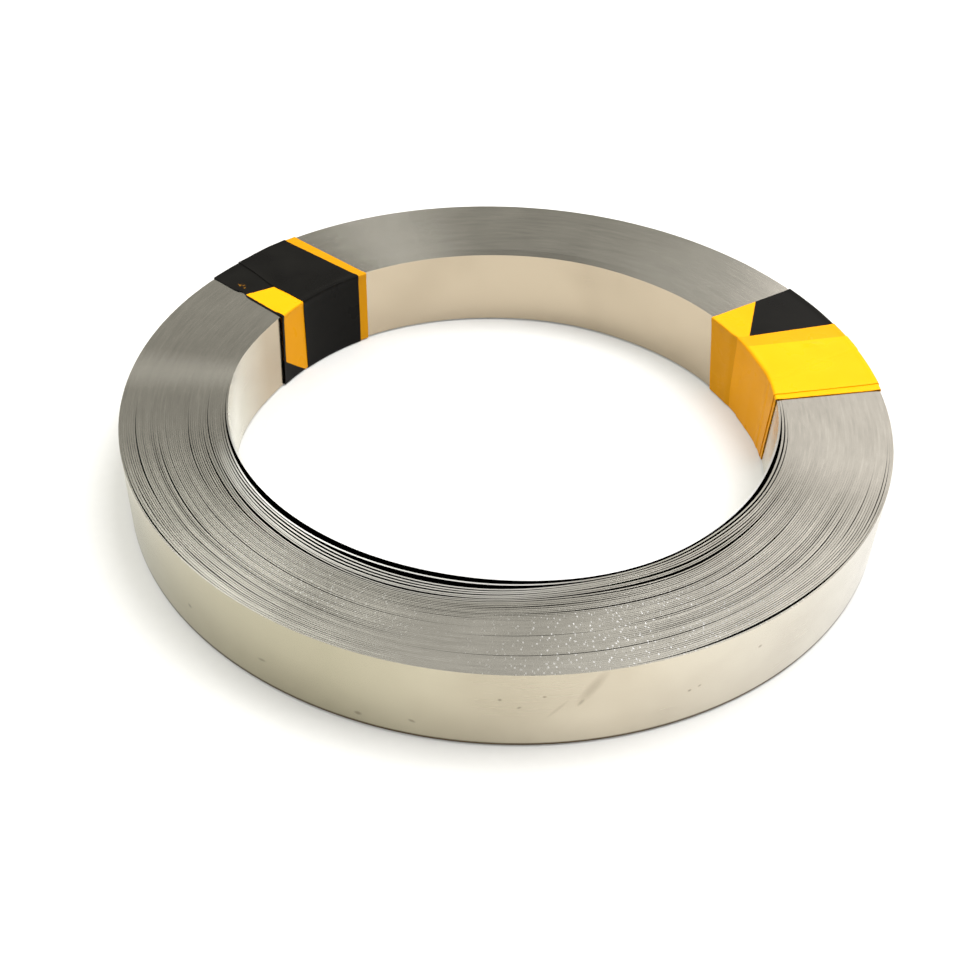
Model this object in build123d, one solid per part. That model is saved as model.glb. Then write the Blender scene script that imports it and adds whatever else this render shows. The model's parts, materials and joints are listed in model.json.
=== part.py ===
from build123d import *
import os
from collections import namedtuple
from math import cos, pi, radians, sin, sqrt

# Coil of nickel-plated steel strip that lies flat, held by two wraps of hazard tape.
# Millimetres, +Z up. The origin is on the coil's axis, on the surface that the coil lies on.
# Azimuths are degrees about +Z, counted from +X.

# The strip and how it is wound
strip_width = 8.0
strip_thickness = 0.15
strip_length = 10000.0
turn_slack = 0.046  # mean air gap between two turns
bore_radius = 25.4

# Open turns, which show as grooves on both ends of the coil
open_turn_shares = (0.17, 0.29, 0.45, 0.65, 0.9)  # of all turns, from the bore
open_turn_width = 0.10
open_turn_depth = 0.30

# Slack turns at the bore. Each gap opens outside a turn: its widest place, half the angle that it spans
# and its width at the widest place
first_gap_azimuth = 278.0
first_gap_half_span = 72.0
first_gap_width = 0.40
second_gap_azimuth = 258.0
second_gap_half_span = 34.0
second_gap_width = 0.32

# Tape. A wrap is wound in layers, listed from the strip outwards. A layer is a straight lane across the
# coil along an azimuth, with its middle shifted sideways from the coil's axis
tape_thickness = 0.07
left_azimuth = 139.2
left_first_width = 11.8
left_first_shift = 1.0
left_second_width = 7.45
left_second_shift = 0.28
right_first_azimuth = 33.3
right_first_width = 11.8
right_first_shift = -5.05
right_azimuth = 13.3
right_second_width = 10.85
right_second_shift = 0.08
right_third_width = 8.1
right_third_shift = -0.3

# Room by which a cutting solid passes what it cuts
overrun = 2.0

SlackGap = namedtuple("SlackGap", "azimuth half_span width")
slack_gaps = (
    SlackGap(first_gap_azimuth, first_gap_half_span, first_gap_width),
    SlackGap(second_gap_azimuth, second_gap_half_span, second_gap_width),
)

TapeLayer = namedtuple("TapeLayer", "azimuth width shift")
left_wrap = (
    TapeLayer(left_azimuth, left_first_width, left_first_shift),
    TapeLayer(left_azimuth, left_second_width, left_second_shift),
)
right_wrap = (
    TapeLayer(right_first_azimuth, right_first_width, right_first_shift),
    TapeLayer(right_azimuth, right_second_width, right_second_shift),
    TapeLayer(right_azimuth, right_third_width, right_third_shift),
)

# Worked out from the sizes above
turn_pitch = strip_thickness + turn_slack
outer_radius = sqrt(bore_radius**2 + strip_length * turn_pitch / pi)
turn_count = (outer_radius - bore_radius) / turn_pitch
base_z = max(len(left_wrap), len(right_wrap)) * tape_thickness  # the tape under the coil lifts it
top_z = base_z + strip_width


def polar(centre, radius, azimuth):
    """The point at a radius and azimuth from a centre, in plan."""
    angle = radians(azimuth)
    return (centre[0] + radius * cos(angle), centre[1] + radius * sin(angle))


def coil_section():
    """Half section of the wound strip in the XZ plane, with a V groove at each open turn on both ends."""
    half_width = open_turn_width / 2
    top, bottom = [], []
    for share in open_turn_shares:
        radius = bore_radius + round(share * turn_count) * turn_pitch  # between two whole turns
        for place, depth in ((radius - half_width, 0), (radius, open_turn_depth), (radius + half_width, 0)):
            top.append((place, top_z - depth))
            bottom.append((place, base_z + depth))
    outline = [(bore_radius, base_z), *bottom, (outer_radius, base_z)]
    outline += [(outer_radius, top_z), *reversed(top), (bore_radius, top_z)]
    return make_face(Plane.XZ * Polyline(*outline, close=True))


def crescent(centre, radius, gap):
    """Plan of a gap outside the circle of that radius, with the centre and radius of its outer arc."""
    ends = [polar(centre, radius, gap.azimuth + side * gap.half_span) for side in (-1, 1)]
    inner_arc = ThreePointArc(ends[0], polar(centre, radius, gap.azimuth), ends[1])
    outer_arc = ThreePointArc(ends[0], polar(centre, radius + gap.width, gap.azimuth), ends[1])
    rise = radius * (1 - cos(radians(gap.half_span)))  # from the chord between the ends to the inner arc
    eccentricity = gap.width * (gap.width + 2 * radius) / (2 * (rise + gap.width))
    outer_centre = polar(centre, eccentricity, gap.azimuth)
    return make_face([inner_arc, outer_arc]), outer_centre, radius + gap.width - eccentricity


def strip_coil():
    """The wound strip: one turned solid with its bore, cut through by the gaps between its slack turns."""
    solid = revolve(coil_section(), Axis.Z)
    centre, wall_radius = (0, 0), bore_radius
    for gap in slack_gaps:
        plan, centre, wall_radius = crescent(centre, wall_radius + strip_thickness, gap)
        solid -= extrude(Pos(0, 0, base_z - overrun) * plan, amount=strip_width + 2 * overrun)
    return solid


def tape_ring(level):
    """One thickness of tape round the coil's section, all round the coil. Level 0 lies on the strip."""
    middle = Pos((bore_radius + outer_radius) / 2, (base_z + top_z) / 2)
    core = Plane.XZ * middle * Rectangle(outer_radius - bore_radius, strip_width)
    inside = offset(core, amount=level * tape_thickness, kind=Kind.ARC) if level else core
    outside = offset(core, amount=(level + 1) * tape_thickness, kind=Kind.ARC)
    return revolve(outside - inside, Axis.Z)


def lane(layer):
    """Plan of a layer of tape, from the coil's axis to past its outer turn."""
    length = outer_radius + overrun
    return Rot(0, 0, layer.azimuth) * Pos(length / 2, layer.shift) * Rectangle(length, layer.width)


def standing(plan):
    """A plan raised through the whole height of the coil and its tape."""
    return extrude(Pos(0, 0, -overrun) * plan, amount=top_z + base_z + 2 * overrun)


def lapped(lanes):
    """Plans of the places that more than 0, 1, 2... lanes cover."""
    plans = []
    for plan in lanes:
        for level, covered in enumerate(plans):
            plans[level], plan = covered + plan, covered & plan
        plans.append(plan)
    return plans


def tape_wrap(layers):
    """Tape wound round the coil's section in layers, each of which climbs over those that it laps."""
    plans = lapped([lane(layer) for layer in layers])
    return sum((tape_ring(level) & standing(plan) for level, plan in enumerate(plans)), start=Part())


nodes = {
    "strip_coil": strip_coil(),
    "tape_wrap_left": tape_wrap(left_wrap),
    "tape_wrap_right": tape_wrap(right_wrap),
}

os.makedirs("parts", exist_ok=True)
for name, solid in nodes.items():
    export_step(solid, f"parts/{name}.step")
    print(name, "volume", round(solid.volume, 2), "solids", len(solid.solids()))
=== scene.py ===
import json
import math
from collections import namedtuple

import bpy
import numpy as np
from mathutils import Matrix, Vector


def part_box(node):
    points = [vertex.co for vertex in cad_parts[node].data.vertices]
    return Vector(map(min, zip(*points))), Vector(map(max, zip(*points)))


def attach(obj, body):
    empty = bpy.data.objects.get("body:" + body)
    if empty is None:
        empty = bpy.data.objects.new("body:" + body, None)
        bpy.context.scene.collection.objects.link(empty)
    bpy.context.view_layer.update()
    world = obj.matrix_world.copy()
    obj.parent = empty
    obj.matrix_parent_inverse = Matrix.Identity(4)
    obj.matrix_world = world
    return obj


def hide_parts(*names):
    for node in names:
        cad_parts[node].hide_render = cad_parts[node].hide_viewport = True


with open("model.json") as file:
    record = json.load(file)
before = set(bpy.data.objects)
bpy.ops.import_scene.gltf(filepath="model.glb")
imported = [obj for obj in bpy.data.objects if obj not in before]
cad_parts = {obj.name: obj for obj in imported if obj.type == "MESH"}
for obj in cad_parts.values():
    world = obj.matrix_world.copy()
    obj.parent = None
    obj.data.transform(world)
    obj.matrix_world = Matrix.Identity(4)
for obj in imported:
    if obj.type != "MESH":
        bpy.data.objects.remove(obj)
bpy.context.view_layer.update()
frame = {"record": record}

# Coil of nickel-plated strip, held by two wraps of hazard tape. Metres, +Z up, the coil's axis is Z.
# Azimuths are degrees about +Z, counted from +X. The camera stands on the -Y side.

MM = 0.001
MICRON = 0.001 * MM
SEED = 7

# The coil as the frame has it
coil_low, coil_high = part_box("strip_coil")
BASE_Z = coil_low.z
TOP_Z = coil_high.z
OUTER_RADIUS = coil_high.x
BORE_MOUNT = next(mount for mount in frame["record"]["mounts"] if mount["name"] == "bore")
BORE_RADIUS = BORE_MOUNT["dims"]["r_mm"] * MM

# The strip's spiral. It starts at the bore under the right tape and ends outside under the left tape
STRIP_THICKNESS = 0.15 * MM
STRIP_CHAMFER = 0.006 * MM           # where the turns lie loose
LEAST_CHAMFER = 0.0005 * MM          # where they lie tight
LEAST_GAP = 0.001 * MM               # between two turns that lie tight, where their burrs all but touch
FINE_GAP = 0.036 * MM                # mean gap between two turns that lie uneven
LEAST_EDGE = 0.1 * MM                # narrowest that a turn's edge gets beside its gap
TURNS = 52
TURN_PITCH = (OUTER_RADIUS - BORE_RADIUS) / TURNS
SAMPLES = 192                        # along each turn
SEAM_AZIMUTH = 139.2                 # where a turn ends and the next starts
INNER_END_AZIMUTH = 15.0
OUTER_END_RISE = 60.0                # angle in which the last turn climbs off the one below it
TURN_SETBACK = 0.03 * MM             # most that a turn's edge lies below the coil's end
TIGHT_SETBACK = 0.1                  # share of it where the turns lie tight
SETBACK_LEVEL = 0.7                  # most of it that differs from turn to turn
SETBACK_RIPPLE = 0.2                 # and that ripples along a turn
SETBACK_WAVES = 2                    # ripples round a turn
SETBACK_DRIFT = 9                    # radians by which they move on from turn to turn

# Radius of the bore, which springs in and out: azimuth, radius of the turn that shows there
BORE_PROFILE = (
    (13, 25.47 * MM), (33, 25.32 * MM), (43, 25.28 * MM), (57, 25.0 * MM), (72, 24.98 * MM), (95, 24.8 * MM),
    (113, 25.0 * MM), (128, 25.28 * MM), (150, 25.45 * MM), (162, 25.52 * MM), (174, 25.97 * MM),
    (207, 25.98 * MM), (220, 25.83 * MM), (240, 25.54 * MM), (258, 25.36 * MM), (270, 25.4 * MM),
    (290, 25.64 * MM), (303, 25.64 * MM), (320, 25.33 * MM), (338, 25.13 * MM), (350, 25.22 * MM),
)
PROFILE_BLEND = 3                    # samples to each side over which the profile's corners are rounded
SHOWN_TURN_SHARE = 1.4               # turns from the spiral's start to the turn that shows in the bore

# Where the turns lie uneven: azimuth, half span, turns counted from the bore
LOOSE_ZONES = ((226, 46, TURNS), (312, 38, TURNS), (268, 60, 12))
LOOSE_FADE = 12                      # turns in which a zone fades out
LOOSE_STEEPNESS = 1.5                # how soon a zone is fully loose, inwards from its ends
UNEVEN_SPREAD = 0.6                  # log-normal spread of the slack from turn to turn
UNEVEN_WAVES = (1, 2, 3, 4)          # waves of slack round a turn
UNEVEN_WAVE = 0.3                    # and how high each is
GAP_SPREAD = (-0.15, 0.5)            # log-normal mean and spread of the fine gaps

# Gaps that stand open: the turn inside the gap, azimuth of the gap's widest place, half span, width
OPEN_GAPS = (
    (1, 238, 60, 0.57 * MM), (1, 266, 22, 0.14 * MM), (1, 298, 44, 0.20 * MM), (1, 336, 28, 0.34 * MM),
    (2, 258, 38, 0.51 * MM), (2, 210, 26, 0.09 * MM), (2, 315, 40, 0.16 * MM), (2, 346, 20, 0.12 * MM),
    (3, 244, 60, 0.17 * MM), (3, 314, 34, 0.11 * MM), (3, 342, 18, 0.07 * MM),
    (4, 238, 44, 0.18 * MM), (4, 308, 26, 0.04 * MM),
    (5, 250, 46, 0.15 * MM), (5, 312, 32, 0.08 * MM),
    (6, 302, 30, 0.18 * MM),
    (7, 254, 18, 0.14 * MM),
    (8, 229, 28, 0.19 * MM), (8, 302, 34, 0.20 * MM),
    (9, 199, 18, 0.06 * MM), (9, 294, 26, 0.08 * MM),
    (11, 216, 26, 0.12 * MM),
    (12, 278, 20, 0.08 * MM),
    (14, 211, 13, 0.05 * MM),
    (16, 294, 26, 0.11 * MM),
    (18, 205, 20, 0.08 * MM),
    (19, 262, 9, 0.04 * MM),
    (20, 315, 20, 0.10 * MM),
    (24, 236, 40, 0.07 * MM),
    (25, 306, 22, 0.07 * MM),
    (28, 296, 11, 0.06 * MM),
    (29, 275, 14, 0.05 * MM),
    (31, 314, 18, 0.07 * MM),
    (33, 214, 20, 0.07 * MM),
    (38, 323, 19, 0.08 * MM),
    (39, 226, 26, 0.06 * MM),
    (40, 284, 34, 0.07 * MM),
    (43, 204, 20, 0.11 * MM), (43, 234, 18, 0.08 * MM), (43, 333, 14, 0.06 * MM),
    (46, 229, 9, 0.07 * MM),
    (48, 213, 10, 0.07 * MM), (48, 338, 16, 0.07 * MM),
    (49, 338, 14, 0.06 * MM),
    (50, 217, 20, 0.10 * MM), (50, 308, 24, 0.17 * MM),
)

# How bright the painted gleam on the slit edges is at the bore: turn, share. The first turn's gleam reaches
# further round than the others
GLEAM_BY_TURN = ((1, 1.0), (2, 0.6), (3, 0.32), (8, 0.16), (11, 0.0))
FIRST_GLEAM_ZONE = (270, 95)         # azimuth, half span
GLEAM_ZONE = (243, 54)
GLEAM_STEEPNESS = 2.2                # how soon they shine fully, inwards from a zone's ends

# Where painted shade dims the edges: azimuth, half span, turns counted from the bore, share
PAINTED_SHADE_ZONES = ((85, 60, 6, 0.3), (290, 45, TURNS, 0.1), (335, 12, TURNS, 0.22), (198, 20, TURNS, 0.21))

# Where painted highlights brighten the edges: azimuth, half span, turns counted from the bore, share
PAINTED_HIGHLIGHT_ZONES = ((116, 20, TURNS, 0.6), (50, 28, TURNS, 0.35), (231, 14, TURNS, 0.25),
                (179, 7, TURNS, 0.45), (154, 24, TURNS, 0.12))

# How rough the edges are where the turns lie tight and where they lie loose
TIGHT_ROUGHNESS = 0.23
LOOSE_ROUGHNESS = 0.27

# How much the tone differs from turn to turn where they lie tight, and how much more where they lie loose
TIGHT_TONE = 0.3
LOOSE_TONE = 0.45

# Painted glints for burrs on the turns' edges: azimuth, half span, middle turn, half the number of turns,
# share
PAINTED_GLINT_ZONES = ((289, 30, 34, 26, 1.0), (247, 24, 24, 18, 0.35))

# Tape. A lane is a band across the coil along an azimuth. Its low and high edge, sideways of the coil's
# axis, are given at the bore's foot, at the bore's rim and at the outer rim. Its loop starts on the coil's
# outer wall at a height over the coil's base, runs under the coil, up the bore and over the top, and laps
# its own start. It stands off the bore at its low and high edge. Its tints darken its yellow with painted
# shade at its low and high edge, over the coil's end and on the walls
TAPE_THICKNESS = BASE_Z / 3          # three layers lift the coil
TAPE_CLEARANCE = 0.004 * MM
TAPE_STEP = 0.16 * MM                # grid of the tape's mesh
TAPE_LAP = 2.4 * MM
CLIMB = 0.14 * MM                    # in which a layer climbs over the edge of one below it
HUG_WINDOW = 2.5                     # degrees to each side over which the tape bridges steps in the turns
WALL_STEPS = 6                       # steps in which the reach along a lane settles
CORNER_TURNS = (22.5, 45, 67.5)      # degrees, between the straights of the loop
CORNER_LIFT = 0.05 * MM
CORNER_REACH = 0.45 * MM
EDGE_LIFT = 0.035 * MM
EDGE_REACH = 0.4 * MM
EDGE_WAVES = (5, (3 * MM, 12 * MM))  # number of waves along an edge, least and greatest length
WRINKLE = 0.016 * MM
WRINKLE_WAVES = (9, (1.5 * MM, 6 * MM))
LIFT_BLEND = 0.25                    # share of the coil's height in which the film starts to lift
FILM_CREASE = 50                     # degrees from which an edge of the film is sharp
STAND_FROM = 0.62                    # share of a lane's width where its stand-off starts to change
STAND_BLEND = 0.12                   # and the share in which it does
TINT_FROM = 0.25                     # share of a lane's width where its tint starts to change
TINT_BLEND = 0.5                     # and the share in which it does

Lane = namedtuple("Lane", "name node slot azimuth low high start stand tints")
LEFT_UNDER = Lane(
    "tape_left_under", "tape_wrap_left", "hazard_tape_yellow", 139.2,
    (-4.75 * MM, -4.7 * MM, -4.25 * MM), (7.3 * MM, 7.0 * MM, 7.2 * MM), 5.2 * MM, (0.15 * MM, 0.15 * MM),
    ((0.5, 0.95), (0.57, 0.76)))
LEFT_OVER = Lane(
    "tape_left_over", "tape_wrap_left", "hazard_tape_black", 139.2,
    (-3.75 * MM, -3.7 * MM, -2.95 * MM), (3.62 * MM, 3.7 * MM, 3.5 * MM), 3.6 * MM, (0.15 * MM, 0.15 * MM),
    ((1, 1), (1, 1)))
RIGHT_SKEWED = Lane(
    "tape_right_skewed", "tape_wrap_right", "hazard_tape_yellow", 33.3,
    (-10.95 * MM, -10.95 * MM, -10.95 * MM), (-0.75 * MM, 0.6 * MM, 1.0 * MM), 5.6 * MM, (0, 0.2 * MM),
    ((0.88, 0.88), (0.62, 0.62)))
RIGHT_UNDER = Lane(
    "tape_right_under", "tape_wrap_right", "hazard_tape_yellow", 13.3,
    (-4.3 * MM, -5.35 * MM, -5.35 * MM), (4.75 * MM, 5.05 * MM, 6.0 * MM), 4.6 * MM, (0, 0),
    ((1, 0.7), (0.82, 0.82)))
RIGHT_OVER = Lane(
    "tape_right_over", "tape_wrap_right", "hazard_tape_yellow", 13.3,
    (-3.75 * MM, -4.65 * MM, -4.45 * MM), (2.9 * MM, 3.3 * MM, 3.6 * MM), 3.4 * MM, (0, 0),
    ((1, 1), (0.82, 0.82)))

# Where a lane's high edge is nicked, or bulges: lane, along it, half length, depth
EDGE_NICKS = (
    ("tape_left_under", 30.5 * MM, 0.6 * MM, 0.3 * MM),
    ("tape_left_over", 29.6 * MM, 2.2 * MM, -0.32 * MM),
)
NICK_FROM = 0.9                      # share of a lane's width where a nick starts

# Where air under a lane lifts it: lane, along and across it, half length, half breadth, height
BLISTERS = (
    ("tape_right_over", 31.6 * MM, 2.55 * MM, 1.3 * MM, 0.7 * MM, 0.16 * MM),
)

# Stripes, measured along the lane from the coil's axis over its top, and down its walls
STRIPE = 30 * MM                     # width of a stripe along the tape
LEFT_BACK_YELLOW = 15 * MM           # where a yellow stripe starts
LEFT_OVER_YELLOW = 42.9 * MM
RIGHT_SKEWED_YELLOW = 0 * MM
RIGHT_YELLOW = 11.1 * MM

# Narrower stripes on the left tape's front edge: sideways place where they start, their pitch and repeats,
# and the inner and outer edge of a yellow one: along the lane at a sideways place, slope
FRONT_FROM = 1 * MM
FRONT_STRIPE = 22 * MM
FRONT_REPEATS = range(-3, 3)
FRONT_INNER_EDGE = (18.85 * MM, 6.9 * MM, 0.69)
FRONT_OUTER_EDGE = (29.85 * MM, 6.52 * MM, 0.285)

# Sideways place where a black border starts on the left tape's front edge: along the lane, place
FRONT_BORDER = (
    (17.2 * MM, 6.97 * MM), (24.9 * MM, 6.7 * MM), (25.5 * MM, 6.86 * MM), (35.6 * MM, 7.06 * MM),
)

# Worn spot where yellow shows through black: along and across the lane, half length, half breadth, how far
# the stripes' edges move in its middle, and how far from an edge it stays at least
WORN_SPOT = (31.5 * MM, 6.1 * MM, 0.6 * MM, 0.3 * MM, 0.15 * MM, 0.027 * MM)

# Marks on the outer wall: azimuth, height over the coil's base, tilt, half length, half breadth, strength
WALL_MARKS = (
    (282.2, 6.3 * MM, 59, 2.3 * MM, 0.6 * MM, 0.26),
    (280.9, 4.75 * MM, 59, 0.6 * MM, 0.22 * MM, 0.34),
    (278.0, 4.1 * MM, 50, 1.45 * MM, 0.2 * MM, 0.15),
    (224.9, 2.9 * MM, 0, 0.35 * MM, 0.25 * MM, 0.5),
    (238.9, 2.7 * MM, 10, 0.5 * MM, 0.2 * MM, 0.4),
    (253.0, 1.1 * MM, 0, 0.4 * MM, 0.25 * MM, 0.45),
    (260.1, 1.7 * MM, -20, 0.4 * MM, 0.2 * MM, 0.4),
    (270.9, 5.25 * MM, 0, 0.2 * MM, 0.16 * MM, 0.6),
    (273.3, 4.4 * MM, 30, 0.25 * MM, 0.14 * MM, 0.5),
    (276.3, 5.6 * MM, 0, 0.2 * MM, 0.14 * MM, 0.5),
    (295.4, 3.5 * MM, 0, 0.22 * MM, 0.16 * MM, 0.55),
    (296.8, 3.7 * MM, 20, 0.22 * MM, 0.14 * MM, 0.45),
    (305.8, 5.4 * MM, 0, 0.25 * MM, 0.18 * MM, 0.5),
)
MARK_CORE = 0.3                      # share of a mark that has its full strength
FOOT_SHADE_LINE = 0.3 * MM                 # height of the painted shade line along the foot of the outer wall

# The plate's colour is painted with reflection and shade. It is darker on the left of the outer wall, and at
# the back and the front of the bore. It gets bright between two places along X on the outer wall, and whiter
# between two more. In the bore it gets bright between two places along Y, and darker again between two more
RIM_SHADE_FADE = (-12.5 * MM, 8 * MM)
RIM_SHEEN_FADE = (10 * MM, 34 * MM)
BORE_SHADE_FADE = (8 * MM, 0 * MM)
BORE_FRONT_SHADE_FADE = (-4 * MM, -14 * MM)

# Plated faces. Rolling lines are noise, drawn out along the strip
# Colours of the plate, darker and brighter by place as painted reflection and shade
OUTSIDE_PAINTED_SHADE = (0.43, 0.398, 0.29)
OUTSIDE_BRIGHT = (0.605, 0.545, 0.436)
OUTSIDE_PAINTED_SHEEN = (0.69, 0.665, 0.61)
BORE_PAINTED_SHADE = (0.504, 0.427, 0.318)
BORE_PAINTED_SHEEN = (0.82, 0.81, 0.725)
BORE_FRONT_PAINTED_SHADE = (0.54, 0.475, 0.365)
# Painted shade on the faces between two turns, which show only in the gaps
SHADE_BETWEEN_TURNS = (0.02, 0.018, 0.015)
# Colour of the scuffs and specks, and of the painted shade line along the foot of the outer wall
DIRT_AND_FOOT_SHADE = (0.10, 0.072, 0.045)
HANDLED = (0.16, 0.12, 0.07)
HANDLED_SCALE = 90.0
HANDLED_FROM = (0.45, 0.85)          # noise where handling starts to show and shows most
HANDLED_SHARE = 0.28
HANDLED_ROUGHNESS = 0.06
LINES_ALONG = 30.0                   # in a turn
LINES_ACROSS = 9000.0                # in a metre
FACE_ROUGHNESS = (0.18, 0.25)
FACE_BUMP = 0.06
FACE_RELIEF = 0.02 * MM

# Slit edges. Streaks differ from turn to turn, and dashes along the turns are painted glints of burrs
SLIT_DARK = (0.42, 0.407, 0.365)
SLIT_LIGHT = (0.57, 0.553, 0.498)
SLIT_STREAK = (0.16, 0.152, 0.13)
# Colour of the painted shade on the edges
SLIT_PAINTED_SHADE = (0.16, 0.15, 0.125)
# Colour of the painted highlights on the edges
SLIT_PAINTED_HIGHLIGHT = (0.93, 0.91, 0.84)
# Colour of the painted gleam and glints
SLIT_PAINTED_GLINT = (0.93, 0.93, 0.94)
TONE_SHARE = 0.6                     # of the shade, from the turn's tone
CLOUD_SHARE = 0.4                    # of the shade, from clouds
CLOUD_SCALE = 220.0
STREAKS = 37.3                       # in a turn
STREAK_FROM = (0.25, 0.7)            # noise up to which streaks show most, and where they end
STREAK_SHARE = 0.3
DASHES = 701.4                       # in a turn
DASH_FROM = (0.58, 0.68)             # noise where a dash starts to glint and glints most
GLINT_ROUGHNESS = 0.38               # more than the edge round it
GRAIN_SCALE = 2600.0
GRAIN_BUMP = 0.06
GRAIN_RELIEF = 0.03 * MM
DRAWN_OUT = 0.6                      # how far the gloss is drawn out across the turns
QUARTER_TURN = 0.25

# Film of the tape
FILM_YELLOW = ((0.77, 0.325, 0.003), (0.73, 0.304, 0.002))
# Colour of the painted shade on the yellow, where a lane's tint is 0
FILM_PAINTED_SHADE = (0.16, 0.085, 0.004)
FILM_BLACK = ((0.004, 0.0038, 0.0035), (0.006, 0.0057, 0.005))
FILM_CLOUD_SCALE = 260.0
FILM_ROUGHNESS = (0.24, 0.36)
FILM_IOR = 1.2
FILM_SPECULAR = 0.22
PRINT_SCALE = 3000.0
PRINT_RAGGED = 0.02                  # millimetres by which the print's edges stray
PRINT_BLUR = 0.03                    # and over which they fade, to each side
CREASE_SCALE = 700.0
CREASE_BUMP = 0.12
CREASE_RELIEF = 0.04 * MM

# Noise is about evenly spread between these two
NOISE_SPAN = (0.3, 0.7)

# Floor. It glows more, the further it lies from the coil, so that it fades to white
FLOOR_HALF = 3.0
FLOOR_COLOURS = ((0.49, 0.487, 0.475), (0.515, 0.512, 0.50))
FLOOR_GRAIN_SCALE = 900.0
FLOOR_ROUGHNESS = 0.6
FLOOR_GLOW_COLOUR = (1, 1, 0.99, 1)
FLOOR_GLOW_REACH = (0.15, 0.9)
FLOOR_GLOW = (0.12, 0.5)

# Room: strength of its light at the horizon, over it and overhead, and the sines of elevation between which
# one goes over into the next. It is warm up to the last two sines, and paler above
ROOM_HORIZON = 0.85
ROOM_LOW = 0.38
ROOM_OVERHEAD = 1.05
ROOM_HORIZON_FADE = (0.12, 0.3)
ROOM_OVERHEAD_FADE = (0.55, 0.85)
ROOM_WARM = (1.0, 0.965, 0.86)
ROOM_PALE = (1.0, 0.98, 0.94)
ROOM_WARM_FADE = (0.5, 0.75)

# Lamps: where they stand, seen from the coil, size, power, colour, and whether they light what is matt and
# show in what is glossy
LAMP_DISTANCE = 0.6
Lamp = namedtuple("Lamp", "name direction size power colour matt gloss")
LAMPS = (
    Lamp("key", (0.4, 0.08, 0.91), 0.4, 5.2, (1, 1, 1), True, False),
    Lamp("right", (0.45, 0.75, 0.48), 0.3, 0.27, (1, 0.94, 0.92), True, True),
    Lamp("left", (-0.56, 0.3, 0.77), 0.4, 2.0, (0.98, 1, 0.95), True, True),
    Lamp("streak", (0.271, 0.549, 0.79), 0.2, 0.17, (1, 0.98, 0.97), True, True),
    Lamp("fill", (-0.05, -0.74, 0.67), 0.4, 0.9, (1, 1, 1), True, False),
    Lamp("spark", (0.52, -0.26, 0.81), 0.2, 1.3, (1, 1, 1), False, True),
)

# Camera, fitted to the coil's rims
CAMERA_ELEVATION = 38.841
CAMERA_DISTANCE_SHARE = 3.66686      # of the outer radius, from the middle of the coil's base
CAMERA_YAW = -0.536
CAMERA_PITCH = -1.466
CAMERA_ROLL = 2.770
SENSOR_WIDTH = 36.0
LENS = 48.985
CLIP_START = 1 * MM


# The wound strip


def smooth(value):
    """Smooth step from 0 to 1."""
    value = np.clip(value, 0, 1)
    return value * value * (3 - 2 * value)


def window(azimuths, centre, half_span):
    """Smooth hump over the azimuths: 1 at the centre and 0 from half a span away."""
    away = np.abs((azimuths - centre + 180) % 360 - 180) / half_span
    return np.where(away < 1, np.cos(away * np.pi / 2) ** 2, 0)


def looseness(turns, azimuths):
    """1 where the turns lie loose and uneven, 0 where they lie tight."""
    zones = [window(azimuths, centre, half) * (1 - smooth((turns - count) / LOOSE_FADE))
             for centre, half, count in LOOSE_ZONES]
    return smooth(LOOSE_STEEPNESS * np.maximum.reduce(zones))


def bore_profile(azimuths):
    """Radius of the turn that shows in the bore, at the azimuths of one whole turn."""
    places, sizes = zip(*BORE_PROFILE)
    sharp = np.interp(azimuths[:-1], places, sizes, period=360)
    shifts = range(-PROFILE_BLEND, PROFILE_BLEND + 1)
    rounded = np.mean([np.roll(sharp, shift) for shift in shifts], axis=0)
    return np.append(rounded, rounded[0])


def wound_turns():
    """Azimuths of a turn, inner radius of each turn and the open gap outside it, one row a turn.

    A row runs from the seam to the next seam.
    """
    random = np.random.default_rng(SEED)
    share = np.arange(SAMPLES + 1) / SAMPLES
    azimuths = SEAM_AZIMUTH + 360 * share
    angles = np.radians(azimuths)
    turns = np.arange(TURNS)[:, None]
    first = bore_profile(azimuths) - SHOWN_TURN_SHARE * TURN_PITCH

    uneven = random.lognormal(0, UNEVEN_SPREAD, TURNS)[:, None] * np.ones(SAMPLES + 1)
    for wave in UNEVEN_WAVES:
        phase = random.uniform(0, 2 * np.pi, TURNS)[:, None]
        uneven = uneven * (1 + UNEVEN_WAVE * np.cos(wave * angles + phase))
    slack = 1 + looseness(turns, azimuths) * (uneven - 1)
    opened = np.zeros((TURNS, SAMPLES + 1))
    for turn, centre, half, width in OPEN_GAPS:
        opened[turn] += width * window(azimuths, centre, half)

    slack_below = np.cumsum(slack, axis=0) - slack + share * slack
    opened_below = np.cumsum(opened, axis=0) - opened
    metal_below = STRIP_THICKNESS * (turns + share)
    outer = OUTER_RADIUS - STRIP_THICKNESS - (1 - smooth(share * 360 / OUTER_END_RISE)) * TURN_PITCH
    spare = outer - first - metal_below[-1] - opened_below[-1]
    radii = first + metal_below + opened_below + spare / slack_below[-1] * slack_below
    return azimuths, radii, opened


def edge_setbacks(turns, angles, loose, random):
    """How far the strip's top and bottom edge lie inside the coil's ends."""
    setbacks = []
    for end in range(2):
        levels = random.uniform(0, SETBACK_LEVEL, TURNS + 2)
        ripple = SETBACK_RIPPLE * np.sin(SETBACK_WAVES * angles + SETBACK_DRIFT * turns + end)
        level = np.clip(np.interp(turns, np.arange(TURNS + 2), levels) + ripple, 0, 1)
        setbacks.append(TURN_SETBACK * (TIGHT_SETBACK + (1 - TIGHT_SETBACK) * loose) * level)
    return setbacks


def edge_gleam(rows, azimuths):
    """How bright the painted gleam on the slit edges is: most on the slack turns at the bore."""
    turns, shares = zip(*GLEAM_BY_TURN)
    first, others = (smooth(GLEAM_STEEPNESS * window(azimuths, *zone))
                     for zone in (FIRST_GLEAM_ZONE, GLEAM_ZONE))
    return np.where(rows < 2, first, others) * np.interp(rows, turns, shares)


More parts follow.
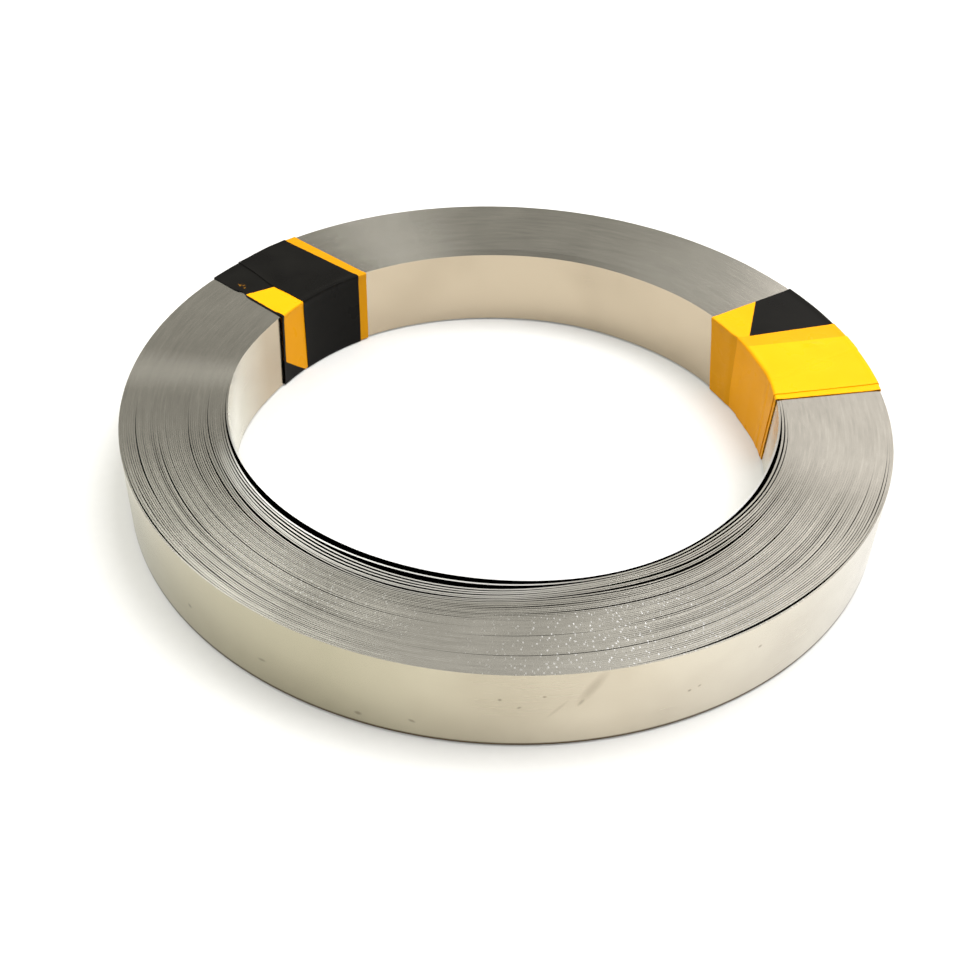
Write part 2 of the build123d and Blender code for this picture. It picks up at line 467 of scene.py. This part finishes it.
def zoned(zones, rows, azimuths):
    """Sum of the shares of the zones that the edges lie in."""
    return sum(share * (rows < count) * window(azimuths, centre, half)
               for centre, half, count, share in zones)


def edge_glints(rows, azimuths):
    """How many painted glints of burrs the slit edges get."""
    zones = [share * window(azimuths, centre, half) * smooth(2 * window(rows, middle, count))
             for centre, half, middle, count, share in PAINTED_GLINT_ZONES]
    return np.maximum.reduce(zones)


def mesh_piece(name, vertices, faces, materials, attributes):
    """A smooth mesh with its materials and point attributes, which rides on the one body."""
    mesh = bpy.data.meshes.new(name)
    mesh.from_pydata(vertices.tolist(), [], faces)
    for attribute, values in attributes.items():
        data = mesh.attributes.new(attribute, "FLOAT", "POINT").data
        data.foreach_set("value", values.astype(np.float32))
    for material in materials:
        mesh.materials.append(material)
    mesh.shade_smooth()
    piece = bpy.data.objects.new(name, mesh)
    bpy.context.scene.collection.objects.link(piece)
    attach(piece, "root")
    return piece


def strip_section(inner, open_gap, turns, angles, loose, random):
    """Radius and height of the section's corners along the strip, from the foot of its inner face round."""
    apart = np.interp(turns, np.arange(TURNS + 2), random.lognormal(*GAP_SPREAD, TURNS + 2))
    gap = LEAST_GAP + FINE_GAP * loose * apart
    to_next = np.append(inner[SAMPLES:], inner[-SAMPLES:] + STRIP_THICKNESS) - inner
    outer = inner + np.maximum(to_next - open_gap - gap, LEAST_EDGE)
    outer[-SAMPLES:] = inner[-SAMPLES:] + STRIP_THICKNESS
    top_setback, bottom_setback = edge_setbacks(turns, angles, loose, random)
    top, bottom = TOP_Z - top_setback, BASE_Z + bottom_setback
    cut = LEAST_CHAMFER + STRIP_CHAMFER * loose
    return (
        (inner, bottom + cut), (inner, top - cut), (inner + cut, top), (outer - cut, top),
        (outer, top - cut), (outer, bottom + cut), (outer - cut, bottom), (inner + cut, bottom),
    )


# Corners of the section on the strip's inner and outer face. A face starts at the first of its two
INNER_CORNERS = (0, 1)
OUTER_CORNERS = (4, 5)


def strip_values(turns, rows, around, loose, corners, random):
    """Point attributes of the strip, for all corners of the section at each place along it."""
    tone = np.interp(turns, np.arange(TURNS + 2), random.uniform(-0.5, 0.5, TURNS + 2))
    along = {
        "turn": turns,
        "turn_tone": 0.5 + tone * (TIGHT_TONE + LOOSE_TONE * loose),
        "painted_shade": zoned(PAINTED_SHADE_ZONES, rows, around),
        "painted_highlight": zoned(PAINTED_HIGHLIGHT_ZONES, rows, around),
        "rough": TIGHT_ROUGHNESS + (LOOSE_ROUGHNESS - TIGHT_ROUGHNESS) * loose,
        "loose": loose,
        "gleam": edge_gleam(rows, around),
        "glints": edge_glints(rows, around),
    }
    values = {name: np.repeat(row, corners) for name, row in along.items()}
    # Faces between two turns are marked, so that they get painted shade
    exposed = np.ones((len(turns), corners))
    exposed[SAMPLES:, INNER_CORNERS] = 0
    exposed[:-SAMPLES, OUTER_CORNERS] = 0
    values["exposed"] = exposed.ravel()
    bore = np.zeros((len(turns), corners))
    bore[:SAMPLES, INNER_CORNERS] = 1
    values["bore"] = bore.ravel()
    return values


def strip_faces(count, corners):
    """Quads between the sections along the strip, and a cap on each of its ends."""
    stations = np.arange(count - 1)[:, None] * corners
    corner = np.arange(corners)
    beside = (corner + 1) % corners
    quads = np.stack([stations + corner, stations + beside,
                      stations + corners + beside, stations + corners + corner], -1).reshape(-1, 4)
    end = (count - 1) * corners
    return quads.tolist() + [list(range(corners))[::-1], list(range(end, end + corners))]


def crease_along(mesh, corners):
    """Make the edges that run along the strip sharp."""
    ends = np.zeros(len(mesh.edges) * 2, np.int32)
    mesh.edges.foreach_get("vertices", ends)
    ends = ends.reshape(-1, 2) % corners
    along = ends[:, 0] == ends[:, 1]
    mesh.attributes.new("sharp_edge", "BOOLEAN", "EDGE").data.foreach_set("value", along)


def strip_spiral(azimuths, radii, opened, face_material, edge_material):
    """The strip: one spiral of all turns, with chamfered slit edges."""
    random = np.random.default_rng(SEED + 1)
    start = round((INNER_END_AZIMUTH + 360 - SEAM_AZIMUTH) / 360 * SAMPLES)

    def unrolled(rows):
        return np.append(rows[:, :-1].ravel(), rows[-1, -1])[start:]

    inner, open_gap = unrolled(radii), unrolled(opened)
    around = unrolled(np.tile(azimuths, (TURNS, 1)))
    angles = np.radians(around)
    count = len(inner)
    turns = (start + np.arange(count)) / SAMPLES
    rows = np.minimum(np.floor(turns), TURNS - 1)
    loose = looseness(rows, around)
    section = strip_section(inner, open_gap, turns, angles, loose, random)
    corners = len(section)
    rings = [np.stack([r * np.cos(angles), r * np.sin(angles), z], -1) for r, z in section]
    vertices = np.stack(rings, 1).reshape(-1, 3)
    values = strip_values(turns, rows, around, loose, corners, random)
    piece = mesh_piece("strip_spiral", vertices, strip_faces(count, corners),
                       [face_material, edge_material], values)
    mesh = piece.data
    on_face = np.isin(np.arange(corners), (INNER_CORNERS[0], OUTER_CORNERS[0]))
    slots = np.append(np.tile(np.where(on_face, 0, 1), count - 1), [1, 1])
    mesh.polygons.foreach_set("material_index", slots.astype(np.int32))
    crease_along(mesh, corners)
    mesh.update()
    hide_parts("strip_coil")


# The tape


def bridged(radii, pick):
    """A radius round the coil that passes over the steps of the turns: pick is minimum or maximum."""
    reach = round(HUG_WINDOW / 360 * SAMPLES)
    shifts = [np.roll(radii, shift) for shift in range(-reach, reach + 1)]
    held = pick.reduce(shifts)
    return np.mean([np.roll(held, shift) for shift in range(-reach, reach + 1)], axis=0)


def coil_walls(azimuths, radii):
    """Radius of the bore and of the outer wall under the tape, as functions of the azimuth."""
    inside_end = azimuths[:-1] >= INNER_END_AZIMUTH + 360
    bore = np.where(inside_end, radii[0, :-1], radii[1, :-1])
    outer = radii[-1, :-1] + STRIP_THICKNESS
    walls = []
    for wall, pick in ((bore, np.minimum), (outer, np.maximum)):
        held = bridged(wall, pick)
        walls.append(lambda at, held=held: np.interp((at - SEAM_AZIMUTH) % 360, azimuths - SEAM_AZIMUTH,
                                                     np.append(held, held[0])))
    return walls


def reach_along(wall, azimuth, across):
    """How far along a lane the wall lies, for places across the lane."""
    along = wall(np.full_like(across, azimuth))
    for _ in range(WALL_STEPS):
        radius = wall(azimuth + np.degrees(np.arctan2(across, along)))
        along = np.sqrt(radius**2 - across**2)
    return along


def edge_at(edge, outwards, rise):
    """Sideways place of a lane's edge, for shares of the way from bore to outer rim and from foot to top."""
    foot, bore_rim, outer_rim = edge
    return outer_rim * outwards + (foot + (bore_rim - foot) * rise) * (1 - outwards)


def in_plan(lane, along, across):
    """Plan place of a place along and across a lane."""
    angle = math.radians(lane.azimuth)
    x = along * math.cos(angle) - across * math.sin(angle)
    y = along * math.sin(angle) + across * math.cos(angle)
    return x, y


def covered(lane, x, y, rise):
    """1 where the lane covers the place, 0 beside it, with a soft step at its edges."""
    angle = math.radians(lane.azimuth)
    across = -x * math.sin(angle) + y * math.cos(angle)
    outwards = np.clip((np.hypot(x, y) - BORE_RADIUS) / (OUTER_RADIUS - BORE_RADIUS), 0, 1)
    over_low = (across - edge_at(lane.low, outwards, rise)) / CLIMB
    under_high = (edge_at(lane.high, outwards, rise) - across) / CLIMB
    return smooth(over_low + 0.5) * smooth(under_high + 0.5)


def lapped(lane, height):
    """1 where the lane's end laps its start on the outer wall, at a height over the coil's base."""
    return smooth((lane.start - height) / CLIMB + 1) * smooth((height - lane.start + TAPE_LAP) / CLIMB + 1)


Station = namedtuple("Station", "outwards height out_x out_z part")
START, BOTTOM, BORE, TOP, END = "start", "bottom", "bore", "top", "end"


def loop_stations(lane):
    """Stations round the coil's section, with the way out of the coil at each."""
    height = TOP_Z - BASE_Z
    across_coil = OUTER_RADIUS - BORE_RADIUS
    stations = []

    def straight(part, length, outwards, heights, out):
        count = round(length / TAPE_STEP)
        for place, rise in zip(np.linspace(*outwards, count), np.linspace(*heights, count)):
            stations.append(Station(place, rise, *out, part))

    def corner(part, outwards, rise, from_angle):
        for turn in CORNER_TURNS:
            angle = math.radians(from_angle - turn)
            stations.append(Station(outwards, rise, math.cos(angle), math.sin(angle), part))

    straight(START, lane.start, (1, 1), (lane.start, 0), (1, 0))
    corner(START, 1, 0, 0)
    straight(BOTTOM, across_coil, (1, 0), (0, 0), (0, -1))
    corner(BOTTOM, 0, 0, -90)
    straight(BORE, height, (0, 0), (0, height), (-1, 0))
    corner(BORE, 0, height, -180)
    straight(TOP, across_coil, (0, 1), (height, height), (0, 1))
    corner(TOP, 1, height, -270)
    straight(END, height - lane.start + TAPE_LAP, (1, 1), (height, lane.start - TAPE_LAP), (1, 0))
    return stations


def ripples(first, second, waves, lengths, random):
    """Smooth random relief between 0 and 1 over two measures."""
    relief = np.zeros(np.broadcast(first, second).shape)
    for _ in range(waves):
        length = random.uniform(*lengths)
        heading = random.uniform(0, 2 * np.pi)
        relief = relief + np.sin(2 * np.pi / length * (first * np.cos(heading) + second * np.sin(heading))
                                 + random.uniform(0, 2 * np.pi))
    return (relief / waves + 1) / 2


def layers_under(lane, below, plan_x, plan_y, height, part):
    """How many layers of tape lie between the lane and the coil."""
    rise = height / (TOP_Z - BASE_Z)
    on_outer = np.isin(part, (START, END))
    layers = np.where(part == END, lapped(lane, height), 0) + 0 * plan_x
    for lower in below:
        doubled = 1 + np.where(on_outer, lapped(lower, height), 0)
        layers = layers + covered(lower, plan_x, plan_y, rise) * doubled
    return layers


def film_lift(lane, x, across, run, to_corner, to_edge, part, random):
    """How far the film lifts: at the coil's corners, in wrinkles, along its own edges and over air."""
    lift = CORNER_LIFT * np.exp(-(to_corner / CORNER_REACH) ** 2)
    lift = lift + WRINKLE * ripples(run, across, *WRINKLE_WAVES, random)
    lift = lift + EDGE_LIFT * np.exp(-to_edge / EDGE_REACH) * ripples(run, 0 * across, *EDGE_WAVES, random)
    for name, place, sideways_place, half_length, half_breadth, height in BLISTERS:
        if name == lane.name:
            away = np.hypot((x - place) / half_length, (across - sideways_place) / half_breadth)
            lift = lift + np.where(part == TOP, height * smooth(1 - away), 0)
    return lift


def tape_sheet(lane, below, walls, stripes, material):
    """A layer of tape: a thin closed sheet wound once round the coil's section, over the lanes below it."""
    random = np.random.default_rng(SEED + round(lane.start / MICRON))
    total = TOP_Z - BASE_Z
    width = lane.high[1] - lane.low[1]
    stations = loop_stations(lane)
    outwards, height, out_x, out_z = (np.array([station[part] for station in stations]) for part in range(4))
    part = np.array([station.part for station in stations])
    rise = height / total
    column = np.linspace(0, 1, round(width / TAPE_STEP))[:, None]

    def sideways(at):
        low, high = edge_at(lane.low, at, rise), edge_at(lane.high, at, rise)
        return low + (high - low) * column

    across_bore, across_rim = sideways(0), sideways(1)
    stand_low, stand_high = lane.stand
    stand = stand_low + (stand_high - stand_low) * smooth((column - STAND_FROM) / STAND_BLEND)
    along_bore = reach_along(walls[0], lane.azimuth, across_bore) - stand
    along_rim = reach_along(walls[1], lane.azimuth, across_rim)
    x = along_bore + outwards * (along_rim - along_bore)
    across = across_bore + outwards * (across_rim - across_bore)
    at_high_edge = smooth((column - NICK_FROM) / (1 - NICK_FROM))
    for name, place, half_length, depth in EDGE_NICKS:
        if name == lane.name:
            across = across - depth * np.exp(-((x - place) / half_length) ** 2) * at_high_edge
    run = np.select([part == TOP, part == END, part == BORE, part == BOTTOM],
                    [x, along_rim + total - height, along_bore - total + height, 2 * along_bore - total - x],
                    2 * along_bore - total - along_rim - height)

    layers = layers_under(lane, below, *in_plan(lane, x, across), height, part)
    to_corner = np.minimum(np.hypot(x - along_bore, height - total), np.hypot(x - along_rim, height - total))
    to_edge = np.minimum(column, 1 - column) * width
    lift = film_lift(lane, x, across, run, to_corner, to_edge, part, random)
    inside = TAPE_CLEARANCE + layers * TAPE_THICKNESS + smooth(rise / LIFT_BLEND) * lift
    sheets = []
    for depth in (inside, inside + TAPE_THICKNESS - 2 * TAPE_CLEARANCE):
        plan = in_plan(lane, x + out_x * depth, across)
        sheets.append(np.stack([*plan, BASE_Z + height + out_z * depth], -1).reshape(-1, 3))
    # The tints are painted shade on the film's yellow
    to_high = smooth((column - TINT_FROM) / TINT_BLEND)
    top_tints, wall_tints = (low + (high - low) * to_high for low, high in lane.tints)
    tint = np.where(part == TOP, top_tints, wall_tints)
    piece = mesh_piece(lane.name, np.concatenate(sheets), sheet_faces(*x.shape), [material], {
        "stripe": np.tile(stripes(run, across).ravel() / MM, 2),
        "tint": np.tile(tint.ravel(), 2),
    })
    piece.data.set_sharp_from_angle(angle=math.radians(FILM_CREASE))
    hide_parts(lane.node)


def sheet_faces(columns, stations):
    """Faces of a closed sheet from an inner and an outer grid of columns and stations."""
    grid = np.arange(columns * stations).reshape(columns, stations)
    far = grid + columns * stations

    def quads(a, b, c, d):
        return np.stack([a, b, c, d], -1).reshape(-1, 4)

    sides = [
        quads(grid[:-1, :-1], grid[:-1, 1:], grid[1:, 1:], grid[1:, :-1]),
        quads(far[:-1, :-1], far[1:, :-1], far[1:, 1:], far[:-1, 1:]),
        quads(grid[0, :-1], far[0, :-1], far[0, 1:], grid[0, 1:]),
        quads(grid[-1, :-1], grid[-1, 1:], far[-1, 1:], far[-1, :-1]),
        quads(grid[:-1, 0], grid[1:, 0], far[1:, 0], far[:-1, 0]),
        quads(grid[:-1, -1], far[:-1, -1], far[1:, -1], grid[1:, -1]),
    ]
    return np.concatenate(sides).tolist()


def slanted_stripes(yellow_from):
    """Distance to the nearest edge of the stripes, above 0 in yellow. A yellow one starts at yellow_from."""
    def field(run, across):
        place = (run - across - yellow_from) % (2 * STRIPE)
        yellow = place < STRIPE
        within = np.where(yellow, place, place - STRIPE)
        return np.where(yellow, 1, -1) * np.minimum(within, STRIPE - within) / math.sqrt(2)
    return field


def left_under_stripes(run, across):
    """Yellow at the back edge, and at the front edge a yellow stripe over the bore's rim in black."""
    back = slanted_stripes(LEFT_BACK_YELLOW)(run, across)
    inner_along, inner_across, inner_slope = FRONT_INNER_EDGE
    outer_along, outer_across, outer_slope = FRONT_OUTER_EDGE
    front = np.full_like(run, -STRIPE)
    for repeat in FRONT_REPEATS:
        place = run - repeat * FRONT_STRIPE
        from_inner = place - inner_along - inner_slope * (across - inner_across)
        to_outer = outer_along + outer_slope * (across - outer_across) - place
        within = np.minimum(to_outer / math.hypot(1, outer_slope), from_inner / math.hypot(1, inner_slope))
        front = np.maximum(front, within)
    front = np.minimum(front, np.interp(run, *zip(*FRONT_BORDER)) - across)
    spot_along, spot_across, half_length, half_breadth, most, least = WORN_SPOT
    away = np.hypot((run - spot_along) / half_length, (across - spot_across) / half_breadth)
    front = np.maximum(front, np.minimum(most * (1 - away), -least))
    return np.where(across < FRONT_FROM, back, front)


# Materials


def node(tree, kind, inputs=None, **settings):
    """A shader node with its settings and inputs. A socket given as an input is linked."""
    made = tree.nodes.new("ShaderNode" + kind)
    for name, value in settings.items():
        setattr(made, name, value)
    for key, value in (inputs or {}).items():
        if isinstance(value, bpy.types.NodeSocket):
            tree.links.new(value, made.inputs[key])
        else:
            made.inputs[key].default_value = value
    return made


def new_material(name):
    """A new material, its node tree and its shader."""
    made = bpy.data.materials.new(name)
    made.use_nodes = True
    return made, made.node_tree, made.node_tree.nodes["Principled BSDF"]


def link(tree, shader, **sockets):
    """Link sockets to the shader's inputs of the same name, with _ for a space."""
    for name, socket in sockets.items():
        tree.links.new(socket, shader.inputs[name.replace("_", " ")])


def blended(tree, factor, first, second):
    """Colour mixed between two, either of which may be a socket."""
    mix = node(tree, "Mix", {"Factor": factor}, data_type="RGBA")
    for key, value in ((6, first), (7, second)):
        if isinstance(value, bpy.types.NodeSocket):
            tree.links.new(value, mix.inputs[key])
        else:
            mix.inputs[key].default_value = (*value, 1)
    return mix.outputs[2]


def ranged(tree, value, low, high, to_low, to_high):
    """Value brought from one range into another, and kept within it."""
    return node(tree, "MapRange", {0: value, 1: low, 2: high, 3: to_low, 4: to_high}).outputs[0]


def combined(tree, operation, first, second):
    """Value made of two by the operation of a Math node."""
    return node(tree, "Math", {0: first, 1: second}, operation=operation).outputs[0]


def noise(tree, place, scale, detail=3.0, roughness=0.5):
    """Noise at a place, about 0.5 in the mean."""
    inputs = {"Vector": place, "Scale": scale, "Detail": detail, "Roughness": roughness}
    return node(tree, "TexNoise", inputs).outputs[0]


def bumped(tree, height, strength, distance):
    """Normal of a relief."""
    return node(tree, "Bump", {"Strength": strength, "Distance": distance, "Height": height}).outputs[0]


def point_value(tree, name):
    """Value of one of the mesh's point attributes."""
    return node(tree, "Attribute", attribute_name=name).outputs["Fac"]


def own_place(tree):
    """Place on the piece, in metres."""
    return node(tree, "TexCoord").outputs["Object"]


def wall_marks(tree, place):
    """Share of dirt from the scuffs and specks on the coil's outer wall."""
    darkening = None
    for azimuth, height, tilt, length, breadth, strength in WALL_MARKS:
        angle = math.radians(azimuth)
        centre = (OUTER_RADIUS * math.cos(angle), OUTER_RADIUS * math.sin(angle), BASE_Z + height)
        local = node(tree, "Mapping", {
            "Vector": place, "Location": centre, "Rotation": (math.radians(tilt), 0, angle),
            "Scale": (length, length, breadth)}, vector_type="TEXTURE").outputs[0]
        away = node(tree, "VectorMath", {0: local}, operation="LENGTH").outputs["Value"]
        spot = ranged(tree, away, MARK_CORE, 1.0, strength, 0.0)
        darkening = spot if darkening is None else combined(tree, "MAXIMUM", darkening, spot)
    return darkening


def nickel_face():
    """Bright plated face: rolling lines along the strip, handling marks and the outer wall's scuffs, with
    painted reflection and shade.
    """
    made, tree, shader = new_material("nickel_face")
    place = own_place(tree)
    across, depth, height = node(tree, "SeparateXYZ", {0: place}).outputs
    along = combined(tree, "MULTIPLY", point_value(tree, "turn"), LINES_ALONG)
    up = combined(tree, "MULTIPLY", height, LINES_ACROSS)
    lines = noise(tree, node(tree, "CombineXYZ", {0: along, 1: up}).outputs[0], 1.0)
    handled = ranged(tree, noise(tree, place, HANDLED_SCALE), *HANDLED_FROM, 0.0, 1.0)
    # Painted reflection and shade on the outer wall: darker on the left, brighter in the middle, whiter on
    # the right
    to_right = ranged(tree, across, *RIM_SHADE_FADE, 0.0, 1.0)
    outer_plate = blended(tree, to_right, OUTSIDE_PAINTED_SHADE, OUTSIDE_BRIGHT)
    far_right = ranged(tree, across, *RIM_SHEEN_FADE, 0.0, 1.0)
    outside = blended(tree, far_right, outer_plate, OUTSIDE_PAINTED_SHEEN)
    # Painted reflection and shade in the bore: darker at the back and the front, brighter between
    to_middle = ranged(tree, depth, *BORE_SHADE_FADE, 0.0, 1.0)
    bore_plate = blended(tree, to_middle, BORE_PAINTED_SHADE, BORE_PAINTED_SHEEN)
    to_front = ranged(tree, depth, *BORE_FRONT_SHADE_FADE, 0.0, 1.0)
    inside = blended(tree, to_front, bore_plate, BORE_FRONT_PAINTED_SHADE)
    bore = point_value(tree, "bore")
    plated = blended(tree, bore, outside, inside)
    clean = blended(tree, ranged(tree, handled, 0.0, 1.0, 0.0, HANDLED_SHARE), plated, HANDLED)
    # Painted shade: a dark line along the foot of the outer wall
    foot = ranged(tree, height, BASE_Z + FOOT_SHADE_LINE / 2, BASE_Z + FOOT_SHADE_LINE, 1.0, 0.0)
    outer_foot_shade = combined(tree, "SUBTRACT", foot, bore)
    darkening = combined(tree, "MAXIMUM", wall_marks(tree, place), outer_foot_shade)
    marked = blended(tree, darkening, clean, DIRT_AND_FOOT_SHADE)
    # Painted shade: the faces between two turns are near black where they show in the gaps
    colour = blended(tree, point_value(tree, "exposed"), SHADE_BETWEEN_TURNS, marked)
    rolled = ranged(tree, lines, *NOISE_SPAN, *FACE_ROUGHNESS)
    rough = combined(tree, "ADD", rolled, ranged(tree, handled, 0.0, 1.0, 0.0, HANDLED_ROUGHNESS))
    shader.inputs["Metallic"].default_value = 1
    link(tree, shader, Base_Color=colour, Roughness=rough,
         Normal=bumped(tree, lines, FACE_BUMP, FACE_RELIEF))
    return made


def slit_edge():
    """Sheared edge: greyer than the strip's faces, smooth where the turns lie tight, with a painted gleam at
    the bore, painted glints, and painted shade and highlights by zone.
    """
    made, tree, shader = new_material("slit_edge")
    place = own_place(tree)
    turn = point_value(tree, "turn")
    dashes_at = node(tree, "CombineXYZ", {0: combined(tree, "MULTIPLY", turn, DASHES)}).outputs[0]
    dashes = ranged(tree, noise(tree, dashes_at, 1.0, detail=2.0), *DASH_FROM, 0.0, 1.0)
    glint = combined(tree, "MULTIPLY", dashes, point_value(tree, "glints"))
    bright = combined(tree, "MAXIMUM", glint, point_value(tree, "gleam"))
    tone = ranged(tree, point_value(tree, "turn_tone"), 0.0, 1.0, 0.0, TONE_SHARE)
    cloud = ranged(tree, noise(tree, place, CLOUD_SCALE), *NOISE_SPAN, 0.0, CLOUD_SHARE)
    even = blended(tree, combined(tree, "ADD", tone, cloud), SLIT_DARK, SLIT_LIGHT)
    streaks_at = node(tree, "CombineXYZ", {1: combined(tree, "MULTIPLY", turn, STREAKS)}).outputs[0]
    streaks = ranged(tree, noise(tree, streaks_at, 1.0, roughness=0.6), *STREAK_FROM, STREAK_SHARE, 0.0)
    streaky = blended(tree, streaks, even, SLIT_STREAK)
    # Painted shade dims the edges by zone
    dimmed = blended(tree, point_value(tree, "painted_shade"), streaky, SLIT_PAINTED_SHADE)
    # Painted highlights brighten the edges by zone, in place of streaks of reflected light
    painted_highlight = blended(tree, point_value(tree, "painted_highlight"), dimmed, SLIT_PAINTED_HIGHLIGHT)
    # Painted gleam at the bore and painted glints of burrs
    colour = blended(tree, bright, painted_highlight, SLIT_PAINTED_GLINT)
    more = ranged(tree, bright, 0.0, 1.0, 0.0, GLINT_ROUGHNESS)
    rough = combined(tree, "ADD", point_value(tree, "rough"), more)
    grain = noise(tree, place, GRAIN_SCALE, detail=2.0)
    relief = combined(tree, "MULTIPLY", grain, point_value(tree, "loose"))
    round_coil = node(tree, "Tangent", direction_type="RADIAL", axis="Z").outputs[0]
    shader.inputs["Metallic"].default_value = 1
    shader.inputs["Anisotropic"].default_value = DRAWN_OUT
    shader.inputs["Anisotropic Rotation"].default_value = QUARTER_TURN
    link(tree, shader, Base_Color=colour, Roughness=rough, Tangent=round_coil,
         Normal=bumped(tree, relief, GRAIN_BUMP, GRAIN_RELIEF))
    return made


def hazard_film():
    """Glossy plastic film, printed in black and yellow where the mesh's stripe field says so."""
    made, tree, shader = new_material("hazard_film")
    place = own_place(tree)
    fine = noise(tree, place, PRINT_SCALE, detail=2.0)
    stray = ranged(tree, fine, *NOISE_SPAN, -PRINT_RAGGED, PRINT_RAGGED)
    edge = combined(tree, "ADD", point_value(tree, "stripe"), stray)
    yellow = ranged(tree, edge, -PRINT_BLUR, PRINT_BLUR, 0.0, 1.0)
    cloud = noise(tree, place, FILM_CLOUD_SCALE)
    patch = ranged(tree, cloud, *NOISE_SPAN, 0.0, 1.0)
    fresh = blended(tree, patch, *FILM_YELLOW)
    # Painted shade darkens the yellow where the tint is below 1
    shaded_ink = blended(tree, point_value(tree, "tint"), FILM_PAINTED_SHADE, fresh)
    soot = blended(tree, patch, *FILM_BLACK)
    creases = noise(tree, place, CREASE_SCALE)
    shader.inputs["IOR"].default_value = FILM_IOR
    shader.inputs["Specular IOR Level"].default_value = FILM_SPECULAR
    link(tree, shader, Base_Color=blended(tree, yellow, soot, shaded_ink),
         Roughness=ranged(tree, cloud, *NOISE_SPAN, *FILM_ROUGHNESS),
         Normal=bumped(tree, creases, CREASE_BUMP, CREASE_RELIEF))
    return made


def floor_paper():
    """White paper that glows more, the further it lies from the coil."""
    made, tree, shader = new_material("floor_paper")
    place = own_place(tree)
    colour = blended(tree, noise(tree, place, FLOOR_GRAIN_SCALE), *FLOOR_COLOURS)
    away = node(tree, "VectorMath", {0: place}, operation="LENGTH").outputs["Value"]
    shader.inputs["Roughness"].default_value = FLOOR_ROUGHNESS
    shader.inputs["Emission Color"].default_value = FLOOR_GLOW_COLOUR
    link(tree, shader, Base_Color=colour,
         Emission_Strength=ranged(tree, away, *FLOOR_GLOW_REACH, *FLOOR_GLOW))
    return made


# Stage


def floor():
    """The level floor that the coil lies on."""
    half = FLOOR_HALF
    corners = [(-half, -half, 0), (half, -half, 0), (half, half, 0), (-half, half, 0)]
    mesh = bpy.data.meshes.new("floor")
    mesh.from_pydata(corners, [], [(0, 1, 2, 3)])
    mesh.materials.append(floor_paper())
    piece = bpy.data.objects.new("floor", mesh)
    bpy.context.scene.collection.objects.link(piece)


def camera():
    """The photo's camera: it looks from the front, and is then turned aside, up and about its own axis."""
    elevation, yaw, pitch, roll = (
        math.radians(angle) for angle in (CAMERA_ELEVATION, CAMERA_YAW, CAMERA_PITCH, CAMERA_ROLL))
    back = Vector((0, -math.cos(elevation), math.sin(elevation)))
    forward, right = -back, Vector((1, 0, 0))
    up = right.cross(forward)
    forward, right = (forward * math.cos(yaw) + right * math.sin(yaw),
                      right * math.cos(yaw) - forward * math.sin(yaw))
    forward, up = (forward * math.cos(pitch) + up * math.sin(pitch),
                   up * math.cos(pitch) - forward * math.sin(pitch))
    right, up = (right * math.cos(roll) + up * math.sin(roll),
                 up * math.cos(roll) - right * math.sin(roll))
    data = bpy.data.cameras.new("camera")
    data.sensor_width = SENSOR_WIDTH
    data.lens = LENS
    data.clip_start = CLIP_START
    eye = bpy.data.objects.new("camera", data)
    place = Vector((0, 0, BASE_Z)) + back * CAMERA_DISTANCE_SHARE * OUTER_RADIUS
    eye.matrix_world = Matrix.Translation(place) @ Matrix((right, up, -forward)).transposed().to_4x4()
    bpy.context.scene.collection.objects.link(eye)
    bpy.context.scene.camera = eye


def soft_light(lamp):
    """A square lamp that looks at the coil."""
    data = bpy.data.lights.new(lamp.name, "AREA")
    data.shape = "SQUARE"
    data.size = lamp.size
    data.energy = lamp.power
    data.color = lamp.colour
    made = bpy.data.objects.new(lamp.name, data)
    away = Vector(lamp.direction).normalized()
    made.location = away * LAMP_DISTANCE
    made.rotation_mode = "QUATERNION"
    made.rotation_quaternion = away.to_track_quat("Z", "Y")
    made.visible_diffuse = lamp.matt
    made.visible_glossy = lamp.gloss
    bpy.context.scene.collection.objects.link(made)


def room():
    """A room, pale at the horizon, dim over it and bright overhead."""
    made = bpy.data.worlds.new("room")
    made.use_nodes = True
    tree = made.node_tree
    background = tree.nodes["Background"]
    up = node(tree, "SeparateXYZ", {0: node(tree, "TexCoord").outputs["Generated"]}).outputs[2]
    colour = blended(tree, ranged(tree, up, *ROOM_WARM_FADE, 0.0, 1.0), ROOM_WARM, ROOM_PALE)
    horizon = ranged(tree, up, *ROOM_HORIZON_FADE, ROOM_HORIZON, ROOM_LOW)
    overhead = ranged(tree, up, *ROOM_OVERHEAD_FADE, ROOM_LOW, ROOM_OVERHEAD)
    link(tree, background, Color=colour, Strength=combined(tree, "MAXIMUM", horizon, overhead))
    bpy.context.scene.world = made


azimuths, radii, opened = wound_turns()
walls = coil_walls(azimuths, radii)
film = hazard_film()
strip_spiral(azimuths, radii, opened, nickel_face(), slit_edge())
tape_sheet(LEFT_UNDER, [], walls, left_under_stripes, film)
tape_sheet(LEFT_OVER, [LEFT_UNDER], walls, slanted_stripes(LEFT_OVER_YELLOW), film)
tape_sheet(RIGHT_SKEWED, [], walls, slanted_stripes(RIGHT_SKEWED_YELLOW), film)
tape_sheet(RIGHT_UNDER, [RIGHT_SKEWED], walls, slanted_stripes(RIGHT_YELLOW), film)
tape_sheet(RIGHT_OVER, [RIGHT_SKEWED, RIGHT_UNDER], walls, slanted_stripes(RIGHT_YELLOW), film)

floor()
camera()
room()
for lamp in LAMPS:
    soft_light(lamp)
bpy.context.scene.view_settings.view_transform = "Standard"
